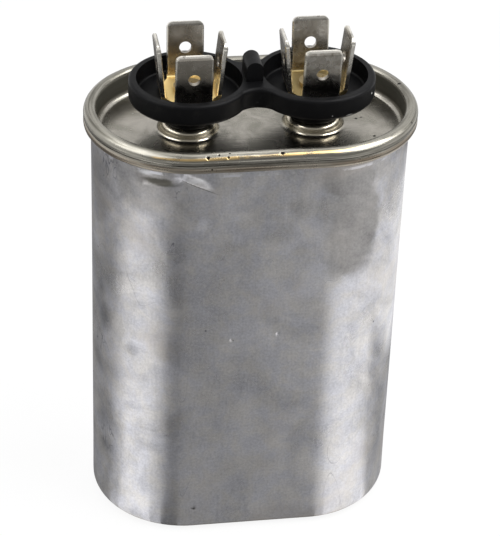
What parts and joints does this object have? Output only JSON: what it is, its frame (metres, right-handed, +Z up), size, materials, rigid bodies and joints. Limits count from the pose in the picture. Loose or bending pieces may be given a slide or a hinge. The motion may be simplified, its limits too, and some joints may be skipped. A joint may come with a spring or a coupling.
{
  "type": "motor run capacitor",
  "caption": "Oval metal-can motor run capacitor with a rolled cover seam and multi-blade quick-connect terminals in black insulating cups.",
  "frame": {"origin": "on the underside of the can, at the centre of its oval", "axes": "+X along the oval's long side towards the right terminal, +Y along its short side towards the back, +Z up through the cover and the terminals"},
  "size_m": [0.0576, 0.036, 0.0924],
  "materials": {
    "can_aluminium": "drawn aluminium, dull satin, scuffed and lightly dented",
    "cover_steel": "tin-plated steel, semi-bright, with small pits and stains",
    "insulator_plastic": "moulded black plastic, satin",
    "terminal_brass": "tarnished brass, grey-brown blades and a brighter plate",
    "rivet_brass": "brass, semi-bright",
    "gasket_rubber": "dark rubber, dull",
    "bushing_plastic": "natural moulded plastic",
    "lug_brass": "plated brass, semi-bright",
    "lead_strap": null,
    "winding_film": "metallised film roll, bright edge",
    "contact_zinc": null,
    "wrap_film": "wrapped plastic film",
    "insulating_board": "pressed insulating board"
  },
  "bodies": {
    "root": {"can": "can_aluminium", "cover": "cover_steel", "terminal_insulator": "insulator_plastic", "left_terminal": "terminal_brass", "right_terminal": "terminal_brass", "left_rivet": "rivet_brass", "right_rivet": "rivet_brass", "left_gasket": "gasket_rubber", "right_gasket": "gasket_rubber", "left_bushing": "bushing_plastic", "right_bushing": "bushing_plastic", "left_lug": "lug_brass", "right_lug": "lug_brass", "left_lead": "lead_strap", "right_lead": "lead_strap", "winding": "winding_film", "top_end_contact": "contact_zinc", "bottom_end_contact": "contact_zinc", "winding_wrap": "wrap_film", "liner": "insulating_board", "bottom_pad": "insulating_board", "top_pad": "insulating_board", "hold_down_spacer": "insulating_board"}
  },
  "joints": []
}
